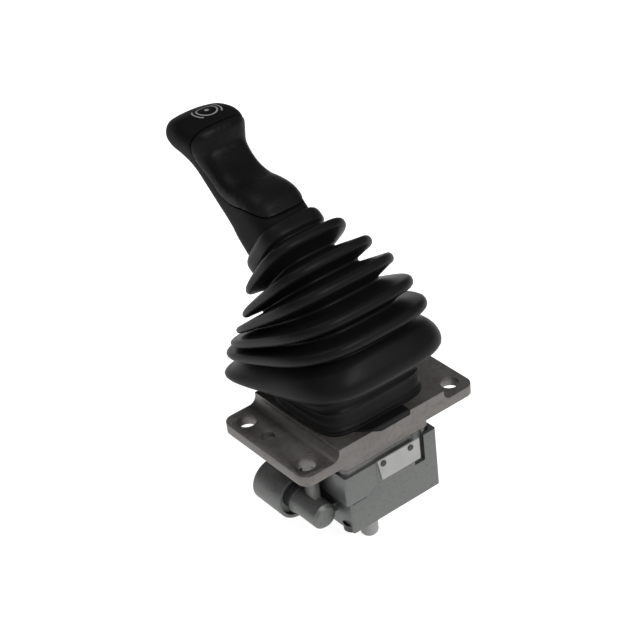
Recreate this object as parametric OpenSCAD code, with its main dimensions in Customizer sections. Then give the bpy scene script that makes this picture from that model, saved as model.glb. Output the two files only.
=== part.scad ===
// Hand control valve. A flange bolts it to a panel, a cranked lever in rubber bellows
// works it from above, and a two-part valve body hangs below the panel.
// Millimetres. The origin is the middle of the four flange holes, on the underside of
// the flange. X runs along the flange, the lever leans back toward +Y, and Z is up.

/* [Flange] */
// Length of the flange
flange_l = 100; // [98:1:116]
// Width of the flange
flange_w = 62; // [60:1:70]
// Thickness of the two ears
ear_t = 5; // [4:0.5:7]
// Corner radius of the ears
flange_r = 5.5; // [3:0.5:8]
// Distance from the flange's ends to the holes
hole_end = 8; // [7:0.5:9]
// Distance from the flange's sides to the holes
hole_side = 9; // [8:0.5:12]
// Diameter of the mounting holes
hole_d = 9; // [6.5:0.5:10]
// Length of the raised deck
deck_l = 61; // [60:0.5:64]
// Height of the deck above the underside
deck_h = 10.4; // [9.4:0.2:12.4]
// Radius of the cove between deck and ears
cove_r = 4; // [2:0.5:4.5]
// Depth of the spigot under the deck
spigot_h = 3.6; // [3:0.2:5]

/* [Pivot and lever] */
// Height of the pivot above the underside
pivot_h = 24; // [23:0.5:26]
// Diameter of the pivot pin
pin_d = 8; // [6:0.5:9]
// Diameter of the lever hub
hub_d = 20; // [18:0.5:22]
// Wall of the bushes in the hub
bush_wall = 1; // [0.8:0.1:1.5]
// Swing of the lever from rest, in degrees
swing = 73; // [60:1:73]
// Lean of the grip at rest, in degrees from upright
lean = 54; // [52:1:56]
// Distance of the grip's foot behind the pivot
grip_y = 41.8; // [40.8:0.2:42.8]
// Height of the grip's foot above the underside
grip_z = 74.7; // [73.7:0.2:76.7]
// Thickness of the lever arm
arm_t = 8; // [6:0.5:10]
// Diameter of the lever stem
stem_d = 10; // [9:0.5:11]
// Diameter of the release rod
rod_d = 4; // [3:0.5:5]
// Travel of the grip when it is pulled up
lift = 5; // [3:0.5:6]

/* [Cam] */
// Cam radius under the pivot at rest
cam_r = 18; // [17.5:0.25:18.5]
// Fall of the cam for each radian of swing
cam_fall = 4.7; // [4:0.1:4.7]
// Width of the cam
cam_w = 12; // [8:1:16]

/* [Grip] */
// Width of the grip's foot
grip_foot_w = 28.6; // [27.6:0.2:30.6]
// Width of the grip's waist
grip_waist_w = 24.6; // [23.6:0.2:26.6]
// Width of the grip's head
grip_head_w = 36; // [34:0.5:38]
// Thickness of the grip's wall over the insert pocket
insert_t = 1.6; // [1.2:0.1:2]
// Groove between insert and grip
groove_w = 0.5; // [0.3:0.1:0.8]

/* [Bellows] */
// Length of the bellows' neck, along the flange
neck_l = 56.6; // [55.6:0.2:58]
// Width of the bellows' neck
neck_w = 51; // [50:0.5:54]
// Height of the neck above the deck
neck_h = 11.5; // [10.5:0.5:13]
// Width of the skirt, along the flange
skirt_l = 77.8; // [75:0.2:79]
// Depth of the skirt, along the swing
skirt_w = 100; // [96:1:104]
// Width of the top fold, along the flange
top_fold_l = 46.8; // [44:0.2:49]
// Depth of the top fold, along the swing
top_fold_w = 51.6; // [49:0.2:55]
// Depth of the folds
fold_depth = 8; // [6:0.5:9]
// Wall of the bellows
rubber_t = 1.8; // [1.4:0.1:2.2]
// Height of the collar round the grip
collar_h = 7; // [6:0.5:8]

/* [Valve body] */
// Distance from the valve axis to the body's right side
body_right = 24.8; // [24:0.2:26]
// Distance from the valve axis to the body's left side
body_left = 28.7; // [28:0.1:29.2]
// Distance from the valve axis to the body's front
body_front = 31; // [30.5:0.5:33]
// Distance from the valve axis to the body's back
body_back = 29; // [29:0.5:32]
// Height of the upper housing's block
upper_h = 15.4; // [14.8:0.2:18]
// Height of the pad that meets the flange
pad_h = 2.5; // [1.5:0.1:3.5]
// Height of the lower housing
lower_h = 16.3; // [16.3:0.1:20]
// Thickness of the flange gasket
gasket_t = 1; // [0.6:0.1:1.5]
// Thickness of the seal plate between the housings
seal_t = 0.4; // [0.3:0.1:1]
// Diameter of the housing screws
screw_d = 5; // [4:0.5:5.5]

/* [Valve inside] */
// Diameter of the graduating piston
piston_d = 34; // [32:0.5:35]
// Height of the graduating piston
piston_h = 8; // [7:0.5:8]
// Diameter of the tappet's stem
tappet_d = 12; // [10:0.5:13]
// Diameter of the tappet's head
tappet_head_d = 18; // [17:0.5:20]
// Diameter of the piston's nose
nose_d = 9; // [8:0.5:9.5]
// Diameter of the inlet seat
seat_d = 12.5; // [11.5:0.5:13]
// Diameter of the inlet valve's disc
disc_d = 16.5; // [15.5:0.5:17.5]
// Diameter of the valve chamber
chamber_d = 20; // [19:0.5:21]
// Diameter of the valve's guide tube
tube_d = 8; // [7:0.5:8.5]

/* [Side chamber] */
// Distance of the side chamber's axis left of the valve axis
side_x = 34.9; // [34.6:0.1:35.6]
// Depth of the side chamber's axis below the underside
side_z = 30.1; // [29.6:0.1:31]
// Outer diameter of the side chamber
side_d = 22; // [21:0.5:23]
// Bore of the side chamber
side_bore = 16; // [14:0.5:17]
// Length of the side chamber
side_l = 19.6; // [19:0.2:21]
// Outer diameter of the side chamber's nose
side_nose_d = 12.8; // [11.8:0.2:13.6]
// Length of the side chamber's nose
side_nose_l = 21.3; // [18:0.5:23]

/* [Ports] */
// Diameter of the port threads' cores
port_d = 10.5; // [8.5:0.5:11]
// Depth of the port threads
port_depth = 9; // [8:0.5:9.5]
// Distance between the two ports
port_gap = 22; // [18:0.5:22]

/* [Fits] */
// Radial clearance of parts that turn or slide
run_gap = 0.05; // [0.02:0.01:0.09]
// Clearance of parts that lie in a seat
seat_gap = 0.1; // [0.05:0.01:0.2]
// Clearance of soft parts
soft_gap = 0.3; // [0.2:0.05:0.4]

/* [Hidden] */
$fn = 48;
eps = 0.01;

// Directions of the grip: up the stem, and out of its front face
up = [0, sin(lean), cos(lean)];
front = [0, -cos(lean), sin(lean)];

// Hole spacing along and across the flange
hole_pitch_x = flange_l - 2 * hole_end;
hole_pitch_y = flange_w - 2 * hole_side;

// Levels of the stack under the flange, counted down from the underside
pad_top = -spigot_h - gasket_t;
upper_top = pad_top - pad_h;
upper_bottom = upper_top - upper_h;
lower_top = upper_bottom - seal_t;
lower_bottom = lower_top - lower_h;

// Well in the deck, and its floor
deck_shift = 0.5;
well_l = 46;
well_w = 40;
floor_z = 1;

// Cheeks that carry the pivot pin
cheek_in = 17.5;
cheek_t = 5;
cheek_r = pin_d / 2 + 4;
clip_t = 1;
pin_over = 2.6;
pin_l = 2 * (cheek_in + cheek_t + pin_over);
groove_x = cheek_in + cheek_t + 0.3;

// Hub and spring side by side on the pin
hub_left = cheek_in - 0.3;
hub_right = 9;
bush_d = pin_d + 2 * bush_wall;
bush_l = 8;

// Foot of the grip, across the swing, and its squareness
grip_foot_t = 33.4;
foot_square = 3.6;

// Socket of the stem, measured down the grip's axis from the grip's foot
boss_d = stem_d + 7;
boss_top = 9.4;
boss_l = 22;
socket_l = 17;
stem_top = 49;
stem_foot = -boss_top - socket_l;
grub_d = 4;
screw_at = -boss_top - socket_l / 2;
screw_bite = 0.8;
stem_bore = rod_d + 0.6;
stem_clip_at = 46;

// Core of the grip, measured up the grip's axis from its foot
grip_foot = -8;
core_ledge = 22;
core_top = stem_top + lift + 3;
core_roof = 2.5;
coil_wire = 1.3;
spring_pocket_d = stem_d + 4.4;
core_d = spring_pocket_d + 2.4;
rod_foot = -40;

// Tip of the release rod at the end of the swing, as [y, z]
rod_tip = [grip_y + up[1] * rod_foot, grip_z - pivot_h + up[2] * rod_foot];
rod_tip_end = [rod_tip[0] * cos(swing) - rod_tip[1] * sin(swing),
               pivot_h + rod_tip[0] * sin(swing) + rod_tip[1] * cos(swing)];

// Corner radius of the valve body, and its middle, left to right
body_r = 1.2;
body_mid = (body_right - body_left) / 2;

// Screw pattern of the valve body
screw_x = [-body_left + 4.6, body_right - 4.6];
screw_y = [-body_front + 4.6, body_back - 4.6];
screw_head_d = screw_d + 3.4;
screw_hole_d = screw_d + 0.4;
screw_head_h = screw_d * 0.7;

// Tappet, from the cam down
tappet_top = pivot_h - cam_r - run_gap;
tappet_head_h = 3.2;
tappet_foot = pad_top - 7.4;
spring_plate_t = 1.4;
guide_wall = 2;
guide_rim = 1.4;
guide_d = tappet_d + 2 * (run_gap + guide_wall);

// Piston and inlet valve
piston_foot = upper_bottom + 0.5;
recess_d = 21;
recess_floor = 2;
ring_h = 2.4;
ring_deep = 1.6;
outlet_d = piston_d - 4;
outlet_deep = 3.5;
wall_h = 2.9;
seat_z = lower_top - outlet_deep - wall_h;
disc_h = 2;
tube_len = 7.3;
tube_bore = 5;
retainer_top = seat_z - 5.2;
retainer_h = 3;
circlip_h = 1;
circlip_bite = 1;

// Wires of the inner springs
graduating_wire = 1.7;
valve_wire = 0.8;
side_wire = 1.2;

// Pillar beside the body: its middle, its size, and the pad above it
pillar_at = [1.2, -11.7];
pillar_size = [3.6, 6.8];
pillar_pad = 1;

// Side chamber, from its front end to its back end
side_front = -0.75;
side_back = side_front + side_l;
nose_front = side_front - side_nose_l;
side_floor = side_front + 4.3;
side_step = 2.9;
side_stem_d = 6;
side_piston_y = side_floor + 1.2;
side_piston_h = 4;
side_cap_h = 3;
side_clip_y = side_back - 1.9;
side_cap_y = side_clip_y - side_cap_h - 0.05;

// Folds of the bellows: where each one sits along the bent middle line, skirt first
fold_at = [0, 0.205, 0.327, 0.47, 0.606, 0.785];
skirt_lean = 18;
line_foot = [10, deck_h + 16.6];
line_bend = [13, pivot_h + 38];
collar_out = 2;
fold_sides = 40;
// Squareness of the skirt and of the folds. What is left of their height at the back, and
// how late it fades toward the back
skirt_square = 4;
fold_square = 3.4;
skirt_back = [0.15, 0.6];
fold_back = [0.36, 2];
tip_t = 5;
valley_t = 1.4;
// The neck's top and its tilt, where the wall turns out to the skirt
neck_tilt = 10;

// A rounded rectangle made of squares and circles, so that its corners stay true arcs
module rounded_plate(l, w, r) {
    square([l - 2 * r, w], center = true);
    square([l, w - 2 * r], center = true);
    for (sx = [-1, 1], sy = [-1, 1])
        translate([sx * (l / 2 - r), sy * (w / 2 - r)]) circle(r = r);
}

// A cylinder along X, centred on X = 0
module rod_x(l, d) {
    rotate([0, 90, 0]) cylinder(h = l, d = d, center = true);
}

// A cylinder along Y from y0 to y1
module rod_y(y0, y1, d) {
    translate([0, y0, 0]) rotate([-90, 0, 0]) cylinder(h = y1 - y0, d = d);
}

// Places children on the grip's axis, with Z up the stem and -Y out of the front face
module on_grip() {
    translate([0, grip_y, grip_z]) rotate([-lean, 0, 0]) children();
}

// A drilled hole from point a to point b
module drill(a, b, d) {
    v = b - a;
    translate(a) rotate([0, acos(v[2] / norm(v)), atan2(v[1], v[0])]) cylinder(h = norm(v), d = d);
}

// Triangles between rings of points: a closed tube if loop is true, else a capped loft
function ring_faces(rings, sides, loop) = concat(
    [for (j = [0:rings - (loop ? 1 : 2)], k = [0:sides - 1], half = [0, 1])
        let (a = j * sides + k, b = j * sides + (k + 1) % sides,
             c = ((j + 1) % rings) * sides + k, d = ((j + 1) % rings) * sides + (k + 1) % sides)
        half == 0 ? [a, c, d] : [a, d, b]],
    loop ? [] : [[for (k = [0:sides - 1]) k],
                 [for (k = [0:sides - 1]) rings * sides - 1 - k]]);

// One point of a superellipse with half axes a and b and the given squareness
function oval(a, b, square, t) = [a * sign(cos(t)) * pow(abs(cos(t)), 2 / square),
                                  b * sign(sin(t)) * pow(abs(sin(t)), 2 / square)];

// A round wire along a list of points that lie about the X axis or the Z axis
function unit(v) = v / norm(v);
function wire_rings(path, r, axis, sides) = [for (i = [0:len(path) - 1])
    let (n = len(path) - 1, along = unit(path[min(i + 1, n)] - path[max(i - 1, 0)]),
         side = unit(axis - (axis * along) * along), third = cross(along, side))
    for (k = [0:sides - 1]) path[i] + r * (cos(360 * k / sides) * side + sin(360 * k / sides) * third)];
module wire(path, d, axis, sides = 6) {
    polyhedron(points = wire_rings(path, d / 2, axis, sides), faces = ring_faces(len(path), sides, false));
}

// A coil spring that stands on Z = 0. Its first and last turns are closed up
module coil(outer_d, wire_d, height, turns, steps = 14) {
    r = (outer_d - wire_d) / 2;
    closed = wire_d * 1.08;
    open = (height - wire_d - 2 * closed) / (turns - 2);
    wire([for (i = [0:turns * steps])
        let (n = i / steps, t = 360 * n,
             z = n < 1 ? closed * n
                 : n < turns - 1 ? closed + open * (n - 1)
                 : height - wire_d - closed * (turns - n))
        [r * cos(t), r * sin(t), wire_d / 2 + z]], wire_d, [0, 0, 1]);
}

// A flat retaining ring with a gap, lying on Z = 0
module circlip(outer_d, inner_d, h, gap) {
    difference() {
        cylinder(h = h, d = outer_d);
        translate([0, 0, -1]) cylinder(h = h + 2, d = inner_d);
        translate([0, -gap / 2, -1]) cube([outer_d, gap, h + 2]);
    }
}

// Cast flange: two ears, a raised deck with coves, a well, and the cheeks of the pivot
module deck() {
    translate([deck_shift, 0]) rotate([90, 0, 0]) linear_extrude(flange_w, center = true) {
        translate([-deck_l / 2, 0]) square([deck_l, deck_h]);
        for (s = [-1, 1]) difference() {
            translate([s * (deck_l + cove_r) / 2, ear_t + cove_r / 2 - eps])
                square([cove_r, cove_r], center = true);
            translate([s * (deck_l / 2 + cove_r), ear_t + cove_r - eps]) circle(r = cove_r);
        }
    }
}

module cheeks() {
    for (s = [-1, 1]) translate([s * (cheek_in + cheek_t / 2), 0, 0]) rotate([90, 0, 90])
        linear_extrude(cheek_t, center = true) {
            translate([0, pivot_h]) circle(r = cheek_r);
            polygon([[-cheek_r - 4, floor_z], [cheek_r + 4, floor_z], [cheek_r, deck_h + 2],
                     [cheek_r, pivot_h], [-cheek_r, pivot_h], [-cheek_r, deck_h + 2]]);
        }
}

// Post whose notch stands under the release rod at the end of the swing
lock_w = 10;
lock_post_t = 5;
lock_gap = 3.4;
module lock_post() {
    y = rod_tip_end[0];
    top = rod_tip_end[1] - lock_gap;
    half = lock_post_t / 2;
    rotate([90, 0, 90]) linear_extrude(lock_w, center = true)
        polygon([[-well_w / 2 - 1, floor_z], [lock_post_t - well_w / 2, floor_z],
                 [lock_post_t - well_w / 2, pivot_h - 2],
                 [y + half, top - 4], [y + half, top], [y + half - 1.6, top - 1.6],
                 [y - half + 1.6, top - 1.6], [y - half, top], [y - half, top - 4],
                 [-well_w / 2 - 2.2, pivot_h + 3.5], [-well_w / 2 - 1.8, deck_h + 3]]);
}

// Dimple in the left ear, and notch in the deck
dimple_y = 5.9;
dimple_d = 6.4;
dimple_deep = 2.5;
notch_half = 11;
notch_deep = 2.4;
notch_in = 3;
// The rim inside the neck is smaller than the neck by this much
neck_in = 2 * (rubber_t + soft_gap) + 4;
// Outline of the pads where flange, gasket and body meet
module pad_outline(grow) {
    translate([body_mid - 1.2, -0.6])
        rounded_plate(body_left + body_right - 5.4 + 2 * grow, flange_w - 4 + 2 * grow, 3);
}

module mounting_flange() {
    color([0.56, 0.54, 0.52]) {
        difference() {
            union() {
                linear_extrude(ear_t) rounded_plate(flange_l, flange_w, flange_r);
                deck();
                translate([0, 0, -spigot_h]) linear_extrude(spigot_h + eps)
                    pad_outline(0.8);
                // Pad that the pillar of the side chamber stands up to
                translate([-side_x + pillar_at[0], pillar_at[1], -pillar_pad])
                    linear_extrude(pillar_pad + eps)
                    square([pillar_size[0] + 2, pillar_size[1] + 2], center = true);
                // Low rim that holds the neck of the bellows
                translate([0, 0, deck_h - eps]) linear_extrude(neck_h / 2)
                    rounded_plate(neck_l - neck_in, neck_w - neck_in, 7);
            }
            translate([0, 0, floor_z]) linear_extrude(deck_h + neck_h) rounded_plate(well_l, well_w, 5);
            translate([0, 0, -spigot_h - 1])
                cylinder(h = spigot_h + floor_z + 2, d = guide_d);
            for (sx = [-1, 1], sy = [-1, 1])
                translate([sx * hole_pitch_x / 2, sy * hole_pitch_y / 2, -1])
                    cylinder(h = ear_t + 2, d = hole_d);
            translate([-hole_pitch_x / 2, -hole_pitch_y / 2, ear_t - 0.5]) cylinder(h = 2, d = hole_d + 3.4);
            // Blind dimple between the left holes
            translate([-hole_pitch_x / 2, dimple_y, ear_t - dimple_deep])
                cylinder(h = dimple_deep + 1, d = dimple_d);
            // Notch in the front edge of the deck, with a ramp at its left end
            rotate([90, 0, 0]) translate([0, 0, flange_w / 2 - notch_in]) linear_extrude(notch_in + 1)
                polygon([[-notch_half, deck_h + 1], [-notch_half, deck_h],
                         [5 - notch_half, deck_h - notch_deep],
                         [notch_half, deck_h - notch_deep], [notch_half, deck_h + 1]]);
            for (x = screw_x, y = screw_y)
                translate([x, y, -spigot_h - 1]) cylinder(h = 1 + spigot_h + ear_t, d = screw_d);
        }
        difference() {
            union() {
                cheeks();
                lock_post();
            }
            translate([0, 0, pivot_h]) rod_x(4 * cheek_in, pin_d + 2 * run_gap);
        }
    }
}

// Sheet gasket between flange and upper housing
module flange_gasket() {
    color([0.12, 0.12, 0.12])
        difference() {
            translate([0, 0, pad_top]) linear_extrude(gasket_t)
                pad_outline(0);
            translate([0, 0, pad_top - 1]) cylinder(h = gasket_t + 2, d = piston_d + 2 * run_gap);
            for (x = screw_x, y = screw_y)
                translate([x, y, pad_top - 1]) cylinder(h = gasket_t + 2, d = screw_hole_d);
        }
}

// Outline of the body, seen from above
module body_outline(left) {
    translate([(body_right - left) / 2, (body_back - body_front) / 2])
        rounded_plate(body_right + left, body_back + body_front, body_r);
}

// Apron of the lower housing, which rises over the front of the upper one under the plate
plate_l = [-9.8, 14.2];
plate_z = [upper_top - 11, upper_top + 0.3];
apron_t = 1.5;
apron_left = [plate_l[0] - 8.5, plate_l[0] - 1];
module apron(gap) {
    intersection() {
        translate([0, gap + apron_t - body_front, 0]) rotate([90, 0, 0]) linear_extrude(apron_t + gap + 1)
            polygon([[apron_left[0] - gap, lower_top - eps], [apron_left[1] - gap, plate_z[0] - 1],
                     [apron_left[1] - gap, upper_top + 1], [body_right + 1, upper_top + 1],
                     [body_right + 1, lower_top - eps]]);
        translate([0, 0, lower_top - 1]) linear_extrude(upper_top - lower_top + 1) body_outline(body_left);
    }
}
// Pocket at the right end of the plate
module plate_pocket() {
    translate([plate_l[1] - 3, -body_front - 1, upper_top - 14]) cube([6, 3.4, 20]);
}
// Blind holes of the plate's rivets
rivet_x = [plate_l[0] + 2.5, plate_l[1] - 5.5];
rivet_z = plate_z[1] - 2.2;
rivet_d = 2;
rivet_l = 1.2;
module rivet_holes() {
    for (x = rivet_x) translate([x, 0, rivet_z]) rod_y(-body_front - 1, -body_front + rivet_l + 0.1, rivet_d);
}

// Upper housing: the cylinder of the graduating piston
module upper_housing() {
    color([0.56, 0.60, 0.58])
        difference() {
            union() {
                translate([0, 0, upper_bottom]) linear_extrude(upper_h) body_outline(body_left);
                translate([0, 0, upper_top - eps]) linear_extrude(pad_h + eps)
                    pad_outline(0);
            }
            translate([0, 0, upper_bottom - 1])
                cylinder(h = upper_h + pad_h + 2, d = piston_d + 2 * run_gap);
            for (x = screw_x, y = screw_y)
                translate([x, y, upper_bottom - 1]) cylinder(h = upper_h + pad_h + 2, d = screw_hole_d);
            apron(seat_gap);
            plate_pocket();
        }
}

// Thin seal plate on the parting plane
module seal_plate() {
    color([0.2, 0.2, 0.2])
        difference() {
            translate([0, 0, lower_top]) linear_extrude(seal_t) offset_outline();
            translate([0, 0, lower_top - 1]) cylinder(h = seal_t + 2, d = outlet_d);
            apron(seat_gap);
            for (x = screw_x, y = screw_y)
                translate([x, y, lower_top - 1]) cylinder(h = seal_t + 2, d = screw_hole_d);
        }
}
module offset_outline() {
    translate([(body_right - body_left + 1) / 2, (body_back - body_front) / 2])
        rounded_plate(body_right + body_left - 2.4, body_back + body_front - 1, 3);
}

// Lower housing: valve chamber, outlet chamber, ports at the back, side chamber on the left
lower_left = body_left - 1.8;
port_z = lower_bottom + lower_h / 2 - 0.4;
port_x = [body_mid - port_gap / 2, body_mid + port_gap / 2];
port_end = body_back - port_depth;
outlet_at = outlet_d * 0.3;
module side_casting() {
    translate([-side_x, 0, -side_z]) {
        rod_y(side_front, side_back, side_d);
        rod_y(nose_front + 1.5, side_front + side_step + eps, side_nose_d);
        translate([0, nose_front, 0]) rotate([-90, 0, 0])
            cylinder(h = 1.5 + eps, d1 = side_nose_d - 3, d2 = side_nose_d);
        rod_y(side_front - 3.4, side_front - 1.9, side_nose_d + 1.2);
        // Pillar that rises from the nose to the flange's pad
        translate([pillar_at[0], pillar_at[1], side_nose_d / 4])
            linear_extrude(side_z - side_nose_d / 4 - pillar_pad - seat_gap)
            square(pillar_size, center = true);
    }
    // Web between nose and body
    translate([-side_x, nose_front + 3, -side_z - 2.5])
        cube([side_x - lower_left + 1, side_nose_l - 2, 5]);
}
module lower_housing() {
    color([0.50, 0.54, 0.52])
        difference() {
            union() {
                translate([0, 0, lower_bottom]) linear_extrude(lower_h) body_outline(lower_left);
                apron(0);
                difference() {
                    side_casting();
                    // The upper housing keeps its own room above the parting plane
                    translate([-body_left - seat_gap, -2 * body_front, lower_top])
                        cube([4 * body_left, 4 * body_front, side_z]);
                }
            }
            translate([0, 0, lower_top - outlet_deep]) cylinder(h = outlet_deep + 1, d = outlet_d);
            translate([0, 0, seat_z - 1]) cylinder(h = wall_h + 2, d = seat_d);
            translate([0, 0, lower_bottom - 1]) cylinder(h = seat_z - lower_bottom + 1, d = chamber_d);
            translate([0, 0, retainer_top - retainer_h - circlip_h - 0.1])
                cylinder(h = circlip_h + 0.1, d = chamber_d + 2 * circlip_bite);
            for (x = screw_x, y = screw_y) {
                translate([x, y, lower_bottom - 1]) cylinder(h = lower_h + 2, d = screw_hole_d);
                translate([x, y, lower_bottom - 1]) cylinder(h = 1 + screw_head_h, d = screw_head_d + 0.6);
            }
            // The left port feeds the valve chamber, the right one leads from the outlet chamber
            for (x = port_x) translate([x, 0, port_z]) rod_y(port_end, body_back + 1, port_d);
            drill([port_x[0], port_end + 1, port_z], [-chamber_d / 4, chamber_d / 4, seat_z - 4], 4);
            drill([port_x[1], port_end + 1, port_z + 1], [outlet_at, outlet_at, lower_top - 1.5], 3.4);
            plate_pocket();
            rivet_holes();
            // Side chamber: bore from the back, ring groove at the front, and its feed
            translate([-side_x, 0, -side_z]) {
                rod_y(side_floor, side_back + 1, side_bore);
                rod_y(side_clip_y - 0.05, side_clip_y + circlip_h + 0.05, side_bore + 2 * circlip_bite);
                rod_y(nose_front + 4, side_floor + 1, side_stem_d + 2 * run_gap);
                difference() {
                    rod_y(side_front - 1, side_front + side_step, side_d - 3.2);
                    rod_y(side_front - 2, side_front + side_step + 1, side_nose_d);
                }
            }
            drill([-side_x + side_bore / 2 - 1, side_floor + 3, -side_z - 2], [-7, 3, seat_z - 3.5], 3);
            // Hole of the exhaust nozzle
            translate([nozzle_at[0], nozzle_at[1], lower_bottom - 1]) cylinder(h = 6, d = nozzle_d);
        }
}

// Long cap screws that clamp both housings to the flange
module housing_screws() {
    color([0.45, 0.45, 0.47])
        for (x = screw_x, y = screw_y) translate([x, y, lower_bottom]) {
            cylinder(h = -lower_bottom - spigot_h + 6, d = screw_d - 2 * run_gap);
            difference() {
                cylinder(h = screw_head_h - 0.02, d = screw_head_d);
                translate([0, 0, -1]) cylinder(h = screw_head_h * 0.6 + 1, d = screw_d * 0.92, $fn = 6);
            }
        }
}

// Bare name plate on the front, a little slanted at its left end
plate_t = 0.6;
module name_plate() {
    color([0.82, 0.82, 0.80])
        translate([0, -body_front, 0]) rotate([90, 0, 0]) linear_extrude(plate_t)
            difference() {
                polygon([[plate_l[0] - 0.5, plate_z[1]], [plate_l[1], plate_z[1]],
                         [plate_l[1], plate_z[0]], [plate_l[0] + 1.3, plate_z[0]]]);
                for (x = rivet_x) translate([x, rivet_z]) circle(d = rivet_d);
            }
}
module plate_rivets() {
    color([0.7, 0.7, 0.7])
        for (x = rivet_x) translate([x, 0, rivet_z]) {
            rod_y(-body_front - plate_t - 0.3, -body_front + rivet_l, rivet_d - 2 * run_gap);
            rod_y(-body_front - plate_t - 0.5, -body_front - plate_t - 0.02, rivet_d + 1);
        }
}

// Plastic exhaust nozzle at the front left corner of the underside
nozzle_at = [-14.6, -26];
nozzle_d = 5;
nozzle_head_d = 8.6;
nozzle_l = 9;
module exhaust_nozzle() {
    color([0.85, 0.86, 0.85])
        translate([nozzle_at[0], nozzle_at[1], lower_bottom]) difference() {
            union() {
                translate([0, 0, -nozzle_l]) cylinder(h = 1.2, d1 = nozzle_head_d - 1.6, d2 = nozzle_head_d);
                translate([0, 0, -nozzle_l + 1.2]) cylinder(h = nozzle_l - 1.22, d = nozzle_head_d);
                translate([0, 0, -1]) cylinder(h = 5.6, d = nozzle_d - 0.04);
            }
            translate([0, 0, -nozzle_l - 1]) cylinder(h = nozzle_l, d = 4);
        }
}

// Bellows: rings of points about a bent middle line, from the neck up, then back inside.
// A ring is its place, lean, half sizes and squareness, its shift along its own axis and how
// that fades at the back, and how far in and along the axis the inner wall lies
collar_mid = 5.2;
collar_drop = [front[1], front[2]] * collar_mid;
function line_at(t) = (1 - t) * (1 - t) * line_foot + 2 * t * (1 - t) * line_bend
    + t * t * [grip_y + collar_drop[0], grip_z + collar_drop[1]];
function lean_at(t) = let (u = min(1, t / 0.93))
    skirt_lean + (lean - skirt_lean) * (u + 3 * (3 - 2 * u) * u * u) / 4;
function fold_ring(t, shift, a, b, square, back, inward = rubber_t, lift = 0) =
    [line_at(t)[0], line_at(t)[1], lean_at(t), a, b, square, shift, back, inward, lift];
function fold_size(i, big, small) = (big - (big - small) * pow(i / 5, 1.7)) / 2;
function fold_a(i) = fold_size(i, skirt_l, top_fold_l);
function fold_b(i) = fold_size(i, skirt_w, top_fold_w);
function neck_ring(h, grow, tilt = 0, inward = rubber_t, lift = 0) =
    [0, deck_h + h, tilt, neck_l / 2 + grow, neck_w / 2 + grow, 5, 0, [1, 1], inward, lift];
function collar_ring(s, grow) =
    [grip_y + up[1] * s + collar_drop[0], grip_z + up[2] * s + collar_drop[1], lean,
     grip_foot_w / 2 + grow, grip_foot_t / 2 + grow, foot_square, 0, [1, 1], rubber_t, 0];
function skirt_ring(shift, da, db, square, inward = rubber_t, lift = 0) =
    fold_ring(0, shift, skirt_l / 2 - da, skirt_w / 2 - db, square, skirt_back, inward, lift);
function valley(i, shift) = fold_ring((fold_at[i - 1] + fold_at[i]) / 2, shift + (i == 1 ? 3.8 : 0),
    fold_a(i) - fold_depth, fold_b(i) - fold_depth, fold_square - 0.2, fold_back);
function tip(i, shift, d) =
    fold_ring(fold_at[i], shift, fold_a(i) - d, fold_b(i) - d, fold_square, fold_back);
bellows_outer = concat(
    [neck_ring(0, 0), neck_ring(1.2, 0.3), neck_ring(2.6, 0.3), neck_ring(3.4, -0.3),
     neck_ring(neck_h - 4, -0.8, neck_tilt * 0.6),
     neck_ring(neck_h - 2, -0.3, neck_tilt, rubber_t * 0.6, 1.4)],
    [skirt_ring(-8, 7, 14, skirt_square - 0.4, 0.3, 1.4), skirt_ring(-5.6, 2.2, 3.4, skirt_square, 1.2, 1),
     skirt_ring(-3.2, 0.3, 0.6, skirt_square, rubber_t, 0.4), skirt_ring(0.4, 0, 0, skirt_square),
     skirt_ring(6, 0.8, 1.6, skirt_square), skirt_ring(11.4, 3, 4.2, skirt_square - 0.4, 1.5, -0.6)],
    [for (i = [1:5]) each
        [valley(i, -valley_t / 2), valley(i, valley_t / 2), tip(i, -tip_t / 2, 1.6), tip(i, -tip_t / 4, 0),
         tip(i, tip_t / 4, 0), tip(i, tip_t / 2, 1.6)]],
    [collar_ring(-collar_h - 2.6, collar_out - 1), collar_ring(-collar_h - 1.4, collar_out - 1),
     collar_ring(-collar_h, collar_out + 0.5), collar_ring(-collar_h + 3, collar_out + 0.5),
     collar_ring(-collar_h + 4, collar_out - 0.6), collar_ring(-0.8, collar_out - 0.4),
     collar_ring(0, collar_out - 0.9)]);
// The inner wall runs back down, and lies on the grip's foot at the collar
function inner_ring(r, on_grip) =
    [r[0], r[1], r[2], on_grip ? grip_foot_w / 2 + soft_gap : r[3] - r[8],
     on_grip ? grip_foot_t / 2 + soft_gap : r[4] - r[8], r[5], r[6], r[7], 0, r[9]];
collar_rings = 6;
bellows_inner = [for (i = [len(bellows_outer) - 1:-1:0])
    inner_ring(bellows_outer[i], i >= len(bellows_outer) - collar_rings)];
function ring_points(r, lift) = [for (k = [0:fold_sides - 1])
    let (p = oval(r[3], r[4], r[5], 360 * k / fold_sides), fade = r[7],
         shift = r[6] * (1 - (1 - fade[0]) * pow((1 + p[1] / r[4]) / 2, fade[1])) + lift)
    [p[0], r[0] + p[1] * cos(r[2]) + shift * sin(r[2]), r[1] - p[1] * sin(r[2]) + shift * cos(r[2])]];
module bellows() {
    color([0.07, 0.07, 0.08])
        polyhedron(points = concat([for (r = bellows_outer) each ring_points(r, 0)],
                                   [for (r = bellows_inner) each ring_points(r, r[9])]),
                   faces = ring_faces(2 * len(bellows_outer), fold_sides, true));
}

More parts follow.
